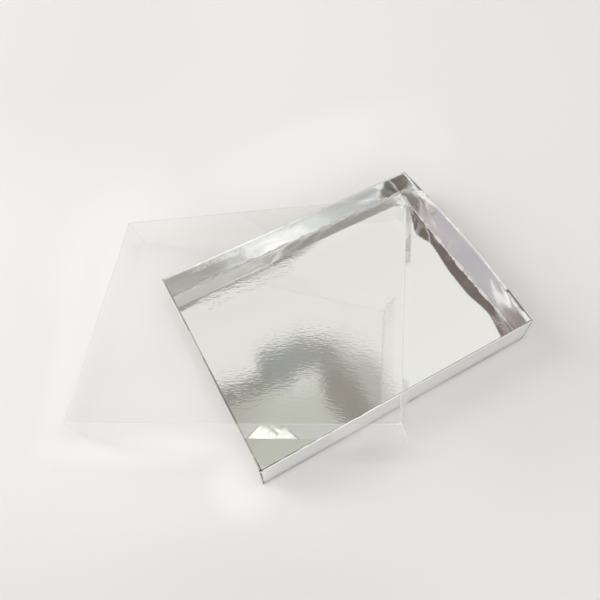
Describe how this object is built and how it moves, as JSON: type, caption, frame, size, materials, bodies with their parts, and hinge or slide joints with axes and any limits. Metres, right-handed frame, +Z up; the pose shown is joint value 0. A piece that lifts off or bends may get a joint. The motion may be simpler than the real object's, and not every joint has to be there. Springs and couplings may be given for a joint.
{
  "type": "clear-lidded gift box",
  "caption": "Shallow folded box: mirror foil card tray with double walls, and a clear film lid taken off and leaning on the tray's rim.",
  "frame": {"origin": "middle of the tray's underside, on the surface that the tray stands on", "axes": "+Z up out of the tray's open top, X along the tray's long side with the sprung end wall at +X, Y along its short side"},
  "size_m": [0.2341, 0.1927, 0.0604],
  "materials": {
    "foil_card": "polished",
    "clear_film": "polished"
  },
  "bodies": {
    "tray": {"tray_floor": "foil_card", "tray_front_wall_outer": "foil_card", "tray_front_wall_inner": "foil_card", "tray_front_rim": "foil_card", "tray_back_wall_outer": "foil_card", "tray_back_wall_inner": "foil_card", "tray_back_rim": "foil_card", "tray_left_wall_outer": "foil_card", "tray_left_wall_inner": "foil_card", "tray_left_rim": "foil_card", "tray_right_wall_outer": "foil_card", "tray_right_wall_inner": "foil_card", "tray_right_rim": "foil_card", "tray_flap_front_left": "foil_card", "tray_flap_front_right": "foil_card", "tray_flap_back_left": "foil_card", "tray_flap_back_right": "foil_card"},
    "lid": {"lid_top": "clear_film", "lid_left_wall": "clear_film", "lid_right_wall": "clear_film", "lid_front_wall": "clear_film", "lid_back_wall": "clear_film", "lid_tab_front_left": "clear_film", "lid_tab_front_right": "clear_film", "lid_tab_back_left": "clear_film", "lid_tab_back_right": "clear_film"}
  },
  "joints": [
    {"name": "lid_lift", "type": "slide", "parent": "tray", "child": "lid", "axis": [0, 0, 1], "range_m": [0, 0.06]}
  ]
}
